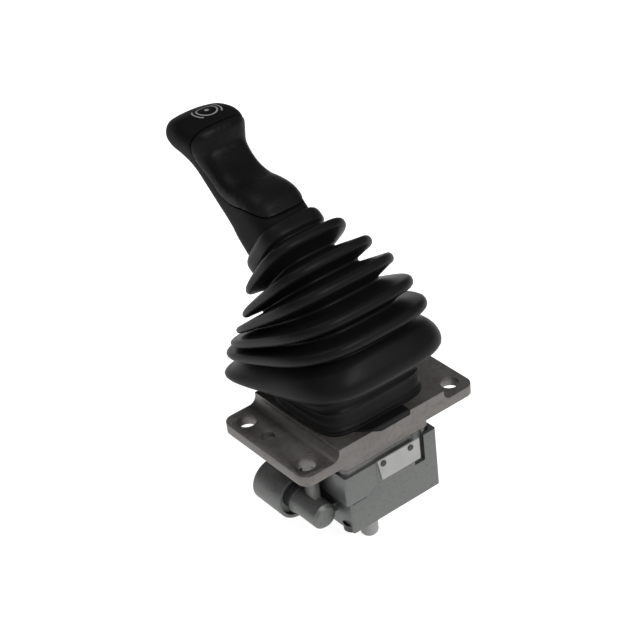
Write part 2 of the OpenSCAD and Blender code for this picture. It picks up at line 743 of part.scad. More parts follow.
// Pivot pin with two ring grooves, and its circlips
module pivot_pin() {
    color([0.70, 0.70, 0.72])
        translate([0, 0, pivot_h]) difference() {
            rod_x(pin_l, pin_d);
            for (s = [-1, 1]) translate([s * (groove_x + clip_t / 2 + 0.05), 0, 0]) difference() {
                rod_x(clip_t + 0.1, pin_d + 2);
                rod_x(clip_t + 2, pin_d - 1.4);
            }
        }
}
module pin_circlips() {
    color([0.35, 0.35, 0.38])
        for (s = [-1, 1]) translate([s > 0 ? groove_x + 0.05 : -groove_x - clip_t - 0.05, 0, pivot_h])
            rotate([0, 90, 0]) circlip(pin_d + 5, pin_d - 1.4 + 2 * run_gap, clip_t, pin_d * 0.7);
}

// Two flanged bushes pressed into the hub
module hub_bushes() {
    color([0.72, 0.55, 0.30])
        translate([0, 0, pivot_h]) difference() {
            for (x = [-hub_left + bush_l / 2 + 0.01, hub_right - bush_l / 2 - 0.01])
                translate([x, 0, 0]) rod_x(bush_l, bush_d);
            rod_x(3 * hub_left, pin_d + 2 * run_gap);
        }
}

// Cam with a constant fall, so that the flat tappet rises evenly with the swing
function cam_point(a) = let (r = cam_r - cam_fall * a * PI / 180, k = cam_fall)
    [-r * sin(a) + k * cos(a), pivot_h - r * cos(a) - k * sin(a)];
boss_mid = [grip_y - up[1] * (boss_top + boss_l / 2 + 2), grip_z - up[2] * (boss_top + boss_l / 2 + 2)];
arm_w = 10.5;
module cam_outline() {
    polygon(concat([for (a = [-15:3:swing + 15]) cam_point(a)], [[0, pivot_h]]));
}
module arm_outline() {
    d = boss_mid - [0, pivot_h];
    n = [d[1], -d[0]] / norm(d) * arm_w / 2;
    polygon([n + [0, pivot_h], boss_mid + n, boss_mid - n, [0, pivot_h] - n]);
}
// Peg that the return spring bears on, and how far up the arm it stands
peg_at = 19;
peg_d = 3.4;
module cam_lever() {
    d = unit(boss_mid - [0, pivot_h]);
    color([0.42, 0.42, 0.44])
        difference() {
            union() {
                translate([(hub_right - hub_left) / 2, 0, pivot_h]) rod_x(hub_left + hub_right, hub_d);
                rotate([90, 0, 90]) linear_extrude(cam_w, center = true) cam_outline();
                rotate([90, 0, 90]) linear_extrude(arm_t, center = true) arm_outline();
                on_grip() translate([0, 0, -boss_top - boss_l]) cylinder(h = boss_l, d = boss_d);
                translate([0, d[0] * peg_at, pivot_h + d[1] * peg_at]) rotate([0, 90, 0])
                    cylinder(h = cheek_in - 1, d = peg_d);
            }
            translate([0, 0, pivot_h]) rod_x(4 * hub_left, bush_d);
            on_grip() {
                translate([0, 0, stem_foot]) cylinder(h = socket_l + 1, d = stem_d);
                translate([0, 0, -boss_top - boss_l - 30]) cylinder(h = boss_l + 30, d = stem_bore);
                // Thread of the grub screw
                translate([0, 0, screw_at]) rotate([90, 0, 0]) cylinder(h = boss_d, d = grub_d);
            }
        }
}

// Hollow stem that the grip slides on
module lever_stem() {
    color([0.66, 0.66, 0.68])
        on_grip() difference() {
            translate([0, 0, stem_foot]) cylinder(h = stem_top - stem_foot, d = stem_d);
            translate([0, 0, stem_foot - 1]) cylinder(h = stem_top - stem_foot + 2, d = stem_bore);
            translate([0, 0, stem_clip_at - 0.05]) difference() {
                cylinder(h = clip_t + 0.1, d = stem_d + 2);
                translate([0, 0, -1]) cylinder(h = clip_t + 3, d = stem_d - 1.4);
            }
            translate([0, 0, screw_at]) rotate([90, 0, 0])
                translate([0, 0, stem_d / 2 - screw_bite]) cylinder(h = 4, d = grub_d + 2 * run_gap);
        }
}
module stem_screw() {
    color([0.2, 0.2, 0.22])
        on_grip() translate([0, 0, screw_at]) rotate([90, 0, 0]) difference() {
            translate([0, 0, stem_d / 2 - screw_bite + 0.02])
                cylinder(h = (boss_d - stem_d) / 2 + 0.5, d = grub_d - 2 * run_gap);
            translate([0, 0, boss_d / 2 - 2.2]) cylinder(h = 4, d = grub_d / 2, $fn = 6);
        }
}
module stem_circlip() {
    color([0.3, 0.3, 0.32])
        on_grip() translate([0, 0, stem_clip_at])
            circlip(spring_pocket_d - 0.8, stem_d - 1.4 + 2 * run_gap, clip_t, stem_d * 0.7);
}

// Torsion spring beside the hub, with one leg on the well's floor and one on the peg
spring_wire = 1.6;
module return_spring() {
    r = bush_d / 2 + 2.2;
    x0 = hub_right + 1.1;
    x1 = cheek_in - 1.1;
    turns = 3.5;
    steps = 16;
    d = unit(boss_mid - [0, pivot_h]);
    peg = [x1, d[0] * peg_at, pivot_h + d[1] * peg_at];
    side = [0, -d[1], d[0]];
    start = atan2(side[2], side[1]);
    n = turns * steps;
    // The coil starts where the leg from the peg's front side meets it
    coil_path = [for (i = [0:n]) let (t = start - 360 * i / steps)
        [x1 - (x1 - x0) * i / n, r * cos(t), pivot_h + r * sin(t)]];
    last = coil_path[n];
    away = unit(coil_path[n] - coil_path[n - 1]);
    leg = (last[2] - floor_z - 1.4) / max(0.3, -away[2]);
    color([0.6, 0.6, 0.62])
        wire(concat([coil_path[0] + [0, d[0], d[1]] * (peg_at + 2.5)], coil_path,
                    [last + away * min(leg, 14)]), spring_wire, [1, 0, 0]);
}

// Grip: a loft through sections across the stem's axis. Each section gives its place up the
// axis, its back and front, its half width, its tip toward the front, its squareness, and how
// much narrower it is at the back
foot_back = collar_mid - grip_foot_t / 2;
foot_front = collar_mid + grip_foot_t / 2;
foot_a = grip_foot_w / 2;
waist_a = grip_waist_w / 2;
head_a = grip_head_w / 2;
waist_back = -9.9;
waist_front = 10.4;
grip_sections = [
    [grip_foot, foot_back, foot_front, foot_a, 0, foot_square, 0],
    [1, foot_back, foot_front, foot_a, 0, foot_square, 0],
    [6, foot_back + 0.4, foot_front + 0.7, foot_a, 0, 3.5, 0],
    [11, foot_back + 0.8, foot_front + 1.2, foot_a - 0.1, 0, 3.4, 0],
    [16, waist_back - 0.3, foot_front - 0.2, foot_a - 0.4, 0, 3.2, 0.02],
    [21.5, waist_back, foot_front - 4, foot_a - 0.9, 0, 3.2, 0.04],
    [27, waist_back, waist_front + 3, waist_a + 0.5, 0, 3.2, 0.05],
    [34, waist_back + 0.1, waist_front + 0.2, waist_a, 0, 3.2, 0.06],
    [41, waist_back + 0.5, waist_front, waist_a, 0, 3.2, 0.08],
    [47, waist_back + 0.7, waist_front + 1, waist_a + 0.9, 4, 3.1, 0.16],
    [51.5, waist_back + 0.6, waist_front + 3.8, waist_a + 2.6, 10, 3, 0.22],
    [56, waist_back + 0.2, waist_front + 6.6, head_a - 1.4, 16, 2.9, 0.2],
    [60.5, waist_back - 0.9, waist_front + 8, head_a - 0.2, 21, 2.8, 0.15],
    [65, waist_back - 1.1, waist_front + 7.8, head_a - 0.4, 25, 2.7, 0.12],
    [68.6, waist_back + 0.6, waist_front + 6.2, head_a - 2, 28, 2.6, 0.12],
    [71.6, waist_back + 3.8, waist_front + 2.8, head_a - 5.4, 29, 2.4, 0.1],
    [73, waist_back + 8, waist_front - 2.2, head_a - 10.8, 29, 2.2, 0]];
grip_sides = 36;
function section_points(g, thin) = [for (k = [0:grip_sides - 1])
    let (deep = (g[2] - g[1]) / 2 - thin, p = oval(g[3] - thin, deep, g[5], 360 * k / grip_sides))
    [p[0] * (1 - g[6] * (1 + p[1] / deep) / 2), p[1] * cos(g[4]) - (g[1] + g[2]) / 2, g[0] + p[1] * sin(g[4])]];
module grip_loft(thin) {
    polyhedron(points = [for (g = grip_sections) each section_points(g, thin)],
               faces = ring_faces(len(grip_sections), grip_sides, false));
}
// Outline of the front insert, seen from the side: distance in front of the stem's axis,
// and distance up it. It drops from the head along the waist, then sweeps forward at the foot
insert_low = 2.7;
insert_high = 57.4;
insert_back = 2.2;
insert_rise = 31;
module insert_outline() {
    reach = foot_front + 8;
    sweep = foot_front - insert_back;
    polygon(concat(
        [[reach, insert_low], [reach, insert_high + 2], [head_front, insert_high]],
        [[insert_back + 10, insert_high - 2.4], [insert_back + 4, insert_high - 5.6]],
        [for (t = [1:-0.1:0])
            [insert_back + sweep * (1 - t * t * (3 - 2 * t)), insert_low + insert_rise * t]]));
}
head_front = waist_front + 8;
module insert_prism(grow) {
    rotate([0, 0, 180]) rotate([90, 0, 90]) linear_extrude(3 * head_a, center = true)
        offset(delta = grow) insert_outline();
}
module grip_shell() {
    color([0.08, 0.08, 0.09])
        on_grip() difference() {
            grip_loft(0);
            difference() {
                insert_prism(groove_w);
                grip_loft(insert_t + seat_gap);
            }
            translate([0, 0, grip_foot - 1])
                cylinder(h = core_top + core_roof + seat_gap + 1 - grip_foot, d = core_d + 2 * seat_gap);
        }
}
module grip_insert() {
    color([0.10, 0.10, 0.11])
        on_grip() difference() {
            intersection() {
                grip_loft(0);
                insert_prism(0);
            }
            grip_loft(insert_t);
            translate([0, 0, grip_foot - 1]) cylinder(h = core_top - grip_foot, d = core_d + 2 * seat_gap);
        }
}
// Sleeve inside the grip that slides on the stem and holds the spring
module grip_core() {
    color([0.3, 0.3, 0.32])
        on_grip() difference() {
            translate([0, 0, grip_foot]) cylinder(h = core_top + core_roof - grip_foot, d = core_d);
            translate([0, 0, grip_foot - 1]) cylinder(h = core_top - grip_foot + 1, d = stem_d + 2 * run_gap);
            translate([0, 0, core_ledge]) cylinder(h = core_top - core_ledge, d = spring_pocket_d);
            translate([0, 0, core_top - 1]) cylinder(h = core_roof + 2, d = rod_d);
        }
}
module grip_spring() {
    color([0.6, 0.6, 0.62])
        on_grip() translate([0, 0, core_ledge + 0.1])
            coil(spring_pocket_d - 0.6, coil_wire, stem_clip_at - core_ledge - 0.2, 6, 12);
}
// Rod through the stem that lifts out of the lock post with the grip
module release_rod() {
    color([0.75, 0.75, 0.77])
        on_grip() {
            translate([0, 0, rod_foot + 1]) cylinder(h = core_top + core_roof - rod_foot - 1, d = rod_d);
            translate([0, 0, rod_foot]) cylinder(h = 1 + eps, d1 = rod_d - 2, d2 = rod_d);
        }
}

// Bush in the flange's floor that guides the tappet
module tappet_guide() {
    color([0.78, 0.62, 0.35])
        difference() {
            union() {
                translate([0, 0, -spigot_h]) cylinder(h = spigot_h + floor_z, d = guide_d);
                translate([0, 0, floor_z]) cylinder(h = guide_rim, d = guide_d + 4);
            }
            translate([0, 0, -spigot_h - 1])
                cylinder(h = spigot_h + floor_z + guide_rim + 2, d = tappet_d + 2 * run_gap);
        }
}
module tappet() {
    color([0.68, 0.68, 0.70]) {
        translate([0, 0, tappet_top - tappet_head_h]) cylinder(h = tappet_head_h, d = tappet_head_d);
        translate([0, 0, tappet_foot]) cylinder(h = tappet_top - tappet_foot - 1, d = tappet_d);
        translate([0, 0, tappet_foot]) cylinder(h = spring_plate_t, d = tappet_d + 5);
    }
}
module graduating_spring() {
    color([0.6, 0.6, 0.62])
        translate([0, 0, piston_foot + recess_floor + 0.05])
            coil(tappet_d + 6, graduating_wire, tappet_foot - piston_foot - recess_floor - 0.1, 3);
}
module graduating_piston() {
    color([0.74, 0.74, 0.72])
        difference() {
            union() {
                translate([0, 0, piston_foot]) cylinder(h = piston_h, d = piston_d);
                translate([0, 0, seat_z]) cylinder(h = piston_foot - seat_z + 1, d = nose_d);
            }
            translate([0, 0, piston_foot + recess_floor]) cylinder(h = piston_h, d = recess_d);
            translate([0, 0, piston_foot + (piston_h - ring_h) / 2]) difference() {
                cylinder(h = ring_h, d = piston_d + 2);
                translate([0, 0, -1]) cylinder(h = ring_h + 2, d = piston_d - 2 * ring_deep);
            }
        }
}
// Ring of round section round an axis along Z
module ring_seal(outer_d, section_d) {
    rotate_extrude() translate([(outer_d - section_d) / 2, 0]) circle(d = section_d);
}
module piston_seal() {
    color([0.06, 0.06, 0.06])
        translate([0, 0, piston_foot + piston_h / 2]) ring_seal(piston_d - 0.02, ring_deep - 0.04);
}
module inlet_valve() {
    color([0.25, 0.25, 0.26])
        translate([0, 0, seat_z - run_gap]) difference() {
            union() {
                translate([0, 0, -disc_h]) cylinder(h = disc_h, d = disc_d);
                translate([0, 0, -tube_len]) cylinder(h = tube_len - 1, d = tube_d);
            }
            translate([0, 0, -tube_len - 1]) cylinder(h = tube_len + 2, d = tube_bore);
        }
}
module valve_spring() {
    color([0.6, 0.6, 0.62])
        translate([0, 0, retainer_top + 0.05])
            coil(tube_d + 4.4, valve_wire, seat_z - run_gap - disc_h - retainer_top - 0.1, 2.5);
}
module valve_retainer() {
    color([0.72, 0.72, 0.70])
        translate([0, 0, retainer_top - retainer_h]) difference() {
            cylinder(h = retainer_h, d = chamber_d - 2 * run_gap);
            translate([0, 0, -1]) cylinder(h = retainer_h + 2, d = tube_d + 2 * run_gap);
        }
}
module retainer_circlip() {
    color([0.3, 0.3, 0.32])
        translate([0, 0, retainer_top - retainer_h - circlip_h - 0.05])
            circlip(chamber_d + 2 * circlip_bite - 0.1, chamber_d - 3, circlip_h, 6);
}

// Spring-loaded piston in the side chamber, its seal, spring, cap and circlip
module on_side(y) {
    translate([-side_x, y, -side_z]) rotate([-90, 0, 0]) children();
}
module side_piston() {
    color([0.74, 0.74, 0.72])
        on_side(side_piston_y) difference() {
            union() {
                cylinder(h = side_piston_h, d = side_bore - 2 * run_gap);
                translate([0, 0, -side_nose_l * 0.6]) cylinder(h = side_nose_l * 0.6 + 1, d = side_stem_d);
            }
            translate([0, 0, (side_piston_h - 1.9) / 2]) difference() {
                cylinder(h = 1.9, d = side_bore + 2);
                translate([0, 0, -1]) cylinder(h = 4, d = side_bore - 2 * run_gap - 2.6);
            }
        }
}
module side_seal() {
    color([0.06, 0.06, 0.06])
        on_side(side_piston_y + side_piston_h / 2) ring_seal(side_bore - 2 * run_gap - 0.02, 1.26);
}
module side_spring() {
    color([0.6, 0.6, 0.62])
        on_side(side_piston_y + side_piston_h + 0.05)
            coil(side_bore - 3, side_wire, side_cap_y - side_piston_y - side_piston_h - 0.1, 2.5, 12);
}
module side_cap() {
    color([0.55, 0.57, 0.56])
        on_side(side_cap_y) difference() {
            cylinder(h = side_cap_h, d = side_bore - 2 * run_gap);
            translate([0, 0, side_cap_h - 1.2]) cylinder(h = 2, d = 5);
        }
}
module side_circlip() {
    color([0.3, 0.3, 0.32])
        on_side(side_clip_y) circlip(side_bore + 2 * circlip_bite - 0.1, side_bore - 3, circlip_h, 5);
}

mounting_flange();
flange_gasket();
upper_housing();
seal_plate();
lower_housing();
housing_screws();
name_plate();
plate_rivets();
exhaust_nozzle();
bellows();
pivot_pin();
pin_circlips();
hub_bushes();
cam_lever();
lever_stem();
stem_screw();
stem_circlip();
return_spring();
grip_shell();
grip_insert();
grip_core();
grip_spring();
release_rod();
tappet_guide();
tappet();
graduating_spring();
graduating_piston();
piston_seal();
inlet_valve();
valve_spring();
valve_retainer();
retainer_circlip();
side_piston();
side_seal();
side_spring();
side_cap();
side_circlip();
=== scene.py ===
import math
import bmesh
import bpy
from mathutils import Matrix, Vector


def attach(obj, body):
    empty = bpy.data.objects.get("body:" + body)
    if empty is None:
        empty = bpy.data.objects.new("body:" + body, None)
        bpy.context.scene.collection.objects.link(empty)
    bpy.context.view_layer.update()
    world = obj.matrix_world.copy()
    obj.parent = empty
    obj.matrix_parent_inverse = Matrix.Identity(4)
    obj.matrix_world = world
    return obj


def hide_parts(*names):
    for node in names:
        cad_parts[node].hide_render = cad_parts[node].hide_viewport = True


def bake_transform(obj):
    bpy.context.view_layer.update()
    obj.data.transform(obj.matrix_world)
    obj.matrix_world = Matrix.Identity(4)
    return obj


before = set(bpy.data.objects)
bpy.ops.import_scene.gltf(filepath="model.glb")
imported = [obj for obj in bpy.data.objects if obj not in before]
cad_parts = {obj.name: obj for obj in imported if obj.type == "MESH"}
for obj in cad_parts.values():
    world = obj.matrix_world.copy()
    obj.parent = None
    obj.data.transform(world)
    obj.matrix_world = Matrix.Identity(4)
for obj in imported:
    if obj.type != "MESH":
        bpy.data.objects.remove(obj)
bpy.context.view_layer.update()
scene = bpy.context.scene
MM = 0.001

# Flange casting
# The real flange is a pressure die casting in aluminium, shot blasted and left bare, so it is a
# warm grey with a pebbled skin. Its edges are a little rounded, and four screws hold it to a panel.
FLANGE_EDGE = 0.7
FLANGE_GREY = "7b7875"
FLANGE_DARK = "696663"
# The convex edges of the flange are painted in this paler grey: partly rubbed wear, partly a painted
# highlight along them.
FLANGE_WEAR_AND_HIGHLIGHT = "a09d9a"
FLANGE_GRIT = 1.1
CAST_PATCH = 9.0
CAST_METAL = 0.75
PIT_SHADE = "e6e4e2"
PIT_STRENGTH = 0.75
PIT_DEPTH = 0.12
FLAT_ANGLE = 1.0
EDGE_ANGLE = 28.0
WELD = 0.00002


def colour(text):
    """The linear colour of an sRGB hex value."""
    parts = [int(text[i:i + 2], 16) / 255 for i in (0, 2, 4)]
    return tuple(p / 12.92 if p <= 0.04045 else ((p + 0.055) / 1.055) ** 2.4 for p in parts) + (1.0,)


def lumps(size):
    """The scale of a noise whose lumps are about size millimetres across."""
    return 0.5 / (size * MM)


def add(material, kind, inputs=None, stops=(), **settings):
    """Adds a node, with its settings, the stops of its colour ramp, and its inputs as values or as
    sockets to link from."""
    made = material.node_tree.nodes.new(kind)
    for name, value in settings.items():
        setattr(made, name, value)
    for number, (place, tone) in enumerate(stops):
        made.color_ramp.elements[number].position = place
        made.color_ramp.elements[number].color = colour(tone)
    for name, value in (inputs or {}).items():
        if isinstance(value, bpy.types.NodeSocket):
            material.node_tree.links.new(value, made.inputs[name])
        else:
            made.inputs[name].default_value = value
    return made


def cleared(owner):
    """A material or a world with an empty node tree."""
    owner.use_nodes = True
    owner.node_tree.nodes.clear()
    return owner


def new_material(name):
    """An empty node material, and the Object coordinates that its patterns read."""
    material = cleared(bpy.data.materials.new(name))
    return material, add(material, "ShaderNodeTexCoord").outputs["Object"]


def surface(material, inputs):
    """Closes a material with its shader, which gets the inputs."""
    shader = add(material, "ShaderNodeBsdfPrincipled", inputs)
    add(material, "ShaderNodeOutputMaterial", {"Surface": shader.outputs["BSDF"]})
    return material


def cast_metal(name, light, dark, grit):
    """Bare die casting: a mottled matt metal with a pebbled skin, a little darker in its pits. The
    grit is drawn coarser than the real one, so that it shows."""
    material, where = new_material(name)
    mottle = add(material, "ShaderNodeTexNoise", {"Vector": where, "Scale": lumps(CAST_PATCH), "Detail": 5.0,
                                                  "Roughness": 0.65}).outputs["Fac"]
    base = add(material, "ShaderNodeValToRGB", {"Fac": mottle}, ((0.3, dark), (0.62, light))).outputs["Color"]
    pits = add(material, "ShaderNodeTexNoise", {"Vector": where, "Scale": lumps(grit), "Detail": 3.0,
                                                "Roughness": 0.6}).outputs["Fac"]
    fleck = add(material, "ShaderNodeValToRGB", {"Fac": pits}, ((0.34, PIT_SHADE), (0.5, "ffffff")))
    toned = add(material, "ShaderNodeMix", {0: PIT_STRENGTH, 6: base, 7: fleck.outputs["Color"]},
                data_type="RGBA", blend_type="MULTIPLY").outputs[2]
    dull = add(material, "ShaderNodeMapRange", {"Value": mottle, "From Min": 0.3, "From Max": 0.7,
                                                "To Min": 0.42, "To Max": 0.6}).outputs["Result"]
    skin = add(material, "ShaderNodeBump", {"Height": pits, "Distance": PIT_DEPTH * MM, "Strength": 0.6})
    return surface(material, {"Base Color": toned, "Metallic": CAST_METAL, "Roughness": dull,
                              "Normal": skin.outputs["Normal"]})


def paint_node(name, material):
    """Gives a CAD node that keeps its own mesh a finish."""
    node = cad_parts[name]
    node.data.materials.clear()
    node.data.materials.append(material)


def sharp_edges(bm, angle):
    """The edges where two faces meet at more than an angle in degrees."""
    return [e for e in bm.edges if len(e.link_faces) == 2 and e.calc_face_angle(0) > math.radians(angle)]


def rounded(bm, edges, radius, steps=2):
    """Rounds edges, and returns the new faces."""
    made = bmesh.ops.bevel(bm, geom=edges, offset=radius, offset_type="OFFSET", affect="EDGES",
                           segments=steps, profile=0.5, material=-1, clamp_overlap=True)
    return made["faces"]


def plain(bm, name, scale=MM):
    """A bare object from a bmesh, with its place in its mesh."""
    if scale != 1.0:
        bmesh.ops.scale(bm, vec=(scale, scale, scale), verts=bm.verts)
    mesh = bpy.data.meshes.new(name)
    bm.to_mesh(mesh)
    bm.free()
    made = bpy.data.objects.new(name, mesh)
    scene.collection.objects.link(made)
    return made


def finished(bm, name, material, body, scale=MM, smooth=35.0, ride=True):
    """An object from a bmesh, with its finish and its body."""
    piece = plain(bm, name, scale)
    piece.data.materials.append(material)
    piece.data.shade_smooth()
    piece.data.set_sharp_from_angle(angle=math.radians(smooth))
    if ride:
        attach(piece, body)
    return piece


def rounded_copy(names, piece_name, edge, material, worn, body):
    """A copy of CAD nodes, which stands for them, with merged faces and rounded edges; convex ones are worn
    and carry a painted highlight.
    """
    bm = bmesh.new()
    for name in names:
        bm.from_mesh(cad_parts[name].data)
    bmesh.ops.remove_doubles(bm, verts=bm.verts, dist=WELD)
    bmesh.ops.dissolve_limit(bm, angle_limit=math.radians(FLAT_ANGLE), verts=bm.verts, edges=bm.edges)
    sharp = sharp_edges(bm, EDGE_ANGLE)
    out = {e for e in sharp if e.is_convex}
    # Convex edges take the second finish, paler for wear and a painted highlight; hollow edges keep the
    # first.
    for kind, worn_and_highlit in ((out, 1), (set(sharp) - out, 0)):
        for f in rounded(bm, [e for e in kind if e.is_valid], edge * MM):
            f.material_index = worn_and_highlit
    piece = finished(bm, piece_name, material, body, scale=1.0)
    piece.data.materials.append(worn)
    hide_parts(*names)


flange_metal = cast_metal("shot_blasted_die_casting", FLANGE_GREY, FLANGE_DARK, FLANGE_GRIT)
# The convex edges get a paler finish, which is partly wear and partly a painted highlight.
flange_edge_wear_and_highlight = cast_metal("casting_edge_wear_and_painted_highlight", FLANGE_WEAR_AND_HIGHLIGHT, FLANGE_GREY, FLANGE_GRIT)
rounded_copy(["mounting_flange"], "flange_casting", FLANGE_EDGE, flange_metal, flange_edge_wear_and_highlight, "housing")

# Valve body
# Two pressure die castings in aluminium with a thin seal between them, tumbled and left bare.
# Their skin is finer and cooler than the flange's, and long screws hold both under the flange.
BODY_EDGE = 0.6
BODY_GREY = "767876"
BODY_DARK = "6a6c6b"
# The convex edges of the body are painted in this paler grey: partly wear, partly a painted highlight along
# them.
BODY_WEAR_AND_HIGHLIGHT = "858886"
BODY_GRIT = 0.7

body_metal = cast_metal("tumbled_die_casting", BODY_GREY, BODY_DARK, BODY_GRIT)
# The convex edges get a paler finish, which is partly wear and partly a painted highlight.
body_edge_wear_and_highlight = cast_metal("tumbled_casting_edge_wear_and_highlight", BODY_WEAR_AND_HIGHLIGHT, BODY_GREY, BODY_GRIT)
for half, casting in (("upper_housing", "upper_casting"), ("lower_housing", "lower_casting")):
    rounded_copy([half], casting, BODY_EDGE, body_metal, body_edge_wear_and_highlight, "housing")

# Bellows
# One moulding in black rubber: a rectangular neck on the deck, a bulging skirt, five folds that
# lean further back one by one, and a collar gripped round the foot of the grip.
SIDES = 96
SKIRT = (38.9, 50.0)
TOP_FOLD = (23.4, 25.8)
FOLDS = 5
FOLD_AT = [0, 0.205, 0.327, 0.47, 0.606, 0.785]
FOLD_TAPER = 1.7
FOLD_DEPTH = 8.0
FIRST_VALLEY_LIFT = 3.8
NECK = (28.3, 25.5)
NECK_TOP = 11.5
DECK = 10.4
SKIRT_FADE = (0.15, 0.6)
VALLEY_FADE = (0.36, 2.0)
TIP_FADE = (0.45, 3.0)
NECK_SQUARE = 5
VALLEY_SQUARE = 3.2
TIP_SQUARE = 3.4
COLLAR_SQUARE = 3.6
LEAN = 54.0
SKIRT_LEAN = 18.0
LEAN_DONE_AT = 0.93
FOOT = Vector((0, 41.8, 74.7))
UP = Vector((0, math.sin(math.radians(LEAN)), math.cos(math.radians(LEAN))))
FRONT = Vector((0, -math.cos(math.radians(LEAN)), math.sin(math.radians(LEAN))))
GRIP_FOOT = (14.3, 16.7)
COLLAR_MID = 5.2
COLLAR_H = 7.0
COLLAR_GAP = 0.3
LINE_FOOT = Vector((10, DECK + 16.6))
LINE_BEND = Vector((13, 62))
LINE_TOP = Vector((FOOT.y + FRONT.y * COLLAR_MID, FOOT.z + FRONT.z * COLLAR_MID))
WALL = 1.8
RUBBER = "151516"
RUBBER_WORN = "1b1b1d"
RUBBER_GRAIN = 0.9
RUBBER_BUMP = 0.06
RUBBER_DULL = 0.44
RUBBER_IOR = 1.46
RUBBER_GLOSS = 0.12
WEAR_PATCH = 14.0

# Two beads round the neck, as heights over the deck and what each ring adds to the neck's size.
NECK_RINGS = ((0.05, 0.1), (0.3, 0.4), (1.2, 0.5), (1.5, 0.1), (2.1, 0.1), (2.4, 0.4), (3.2, 0.3),
              (3.6, -0.3), (5.5, -0.8))
# The shoulder: height from the neck's top, lean, how much narrower than the neck, and how far in
# and up the inner wall lies.
SHOULDER_RINGS = ((-5.2, 6, 0.6, 1.8, 0.0), (-4.0, 9, 0.1, 1.6, 0.9), (-3.6, 10, 0.2, 1.2, 1.0),
                  (-3.3, 10, 0.9, 0.6, 0.8), (0.6, 12, 0.9, 0.6, 0.3))
# The skirt: place along its axis, how much narrower and shallower than its widest ring, how square
# the ring is, and how far in and up the inner wall lies.
SKIRT_RINGS = (
    (-8.0, 7.0, 14.0, 3.6, 0.3, 1.4), (-6.9, 4.2, 7.6, 3.8, 0.7, 1.2), (-5.6, 2.2, 3.4, 4.0, 1.2, 1.0),
    (-4.4, 1.0, 1.6, 4.0, 1.5, 0.7), (-3.2, 0.3, 0.6, 4.0, 1.8, 0.4), (-1.4, 0.0, 0.1, 4.0, 1.8, 0.1),
    (1.0, 0.0, 0.0, 4.0, 1.8, 0.0), (3.4, 0.3, 0.5, 4.0, 1.8, 0.0), (6.0, 0.8, 1.6, 4.0, 1.8, 0.0),
    (8.8, 1.7, 2.7, 3.8, 1.6, -0.3), (11.4, 3.0, 4.2, 3.6, 1.5, -0.6))
# A valley and the tip of a fold: place along the axis, and how much narrower than the middle ring,
# or wider where it is below zero.
VALLEY_RINGS = ((-0.9, -0.5), (-0.6, -0.15), (0.0, 0.0), (0.6, -0.15), (0.9, -0.5))
TIP_RINGS = ((-2.6, 2.2), (-2.4, 1.2), (-1.7, 0.4), (-0.7, 0.0), (0.7, 0.0), (1.7, 0.4), (2.4, 1.2),
             (2.6, 2.2))
# The collar: height up it, and what each ring adds to the grip's foot.
COLLAR_RINGS = ((-2.6, 0.9), (-1.6, 0.9), (-1.2, 1.3), (-0.7, 2.2), (0.1, 2.7), (1.4, 2.8), (3.4, 2.8),
                (4.8, 2.6), (5.9, 2.1), (6.6, 1.4), (7.0, 0.7))


def oval(a, b, square, turn):
    """A point of a superellipse with half axes a and b."""
    c, s = math.cos(turn), math.sin(turn)
    return (a * math.copysign(abs(c) ** (2 / square), c), b * math.copysign(abs(s) ** (2 / square), s))


def ring(y, z, lean, a, b, square, shift=0.0, fade=(1, 1), inward=WALL, lift=0.0):
    """A ring that leans back by lean degrees, moved along its axis by shift, which fades toward
    its back. Also the ring of the inner wall, inward and lifted from it."""
    tilt = math.radians(lean)
    axis = Vector((0, math.sin(tilt), math.cos(tilt)))
    along = Vector((0, math.cos(tilt), -math.sin(tilt)))
    both = []
    for less, rise in ((0, 0), (inward, lift)):
        points = []
        for k in range(SIDES):
            across, deep = oval(a - less, b - less, square, math.tau * k / SIDES)
            move = shift * (1 - (1 - fade[0]) * max(0, (1 + deep / (b - less)) / 2) ** fade[1]) + rise
            points.append(Vector((across, y, z)) + along * deep + axis * move)
        both.append(points)
    return both


def of_kind(geometry, kind):
    """The vertices or the edges among what an operator made."""
    return [g for g in geometry if isinstance(g, kind)]


def loft(bm, rings):
    """Extrudes a closed ring edge by edge through all the rings, and returns both end loops."""
    start = bmesh.ops.create_circle(bm, segments=len(rings[0]), radius=1.0)["verts"]
    order = {v: k for k, v in enumerate(start)}
    for v, point in zip(start, rings[0]):
        v.co = point
    first = [e for e in bm.edges if e.verts[0] in order and e.verts[1] in order]
    edges = first
    for points in rings[1:]:
        grown = bmesh.ops.extrude_edge_only(bm, edges=edges)["geom"]
        fresh = set(of_kind(grown, bmesh.types.BMVert))
        edges = [e for e in of_kind(grown, bmesh.types.BMEdge) if e.verts[0] in fresh and e.verts[1] in fresh]
        number = {}
        for v in fresh:
            before = next(e.other_vert(v) for e in v.link_edges if e.other_vert(v) in order)
            number[v] = order[before]
            v.co = points[number[v]]
        order = number
    return first, edges


def line_at(t):
    """The bent middle line of the bellows, in Y and Z."""
    return (1 - t) ** 2 * LINE_FOOT + 2 * t * (1 - t) * LINE_BEND + t ** 2 * LINE_TOP


def fold_ring(t, shift, a, b, square, fade, inward=WALL, lift=0.0):
    """A ring on the middle line, which leans further the higher it lies."""
    u = min(1, t / LEAN_DONE_AT)
    lean = SKIRT_LEAN + (LEAN - SKIRT_LEAN) * (u + 3 * (3 - 2 * u) * u * u) / 4
    y, z = line_at(t)
    return ring(y, z, lean, a, b, square, shift, fade, inward, lift)


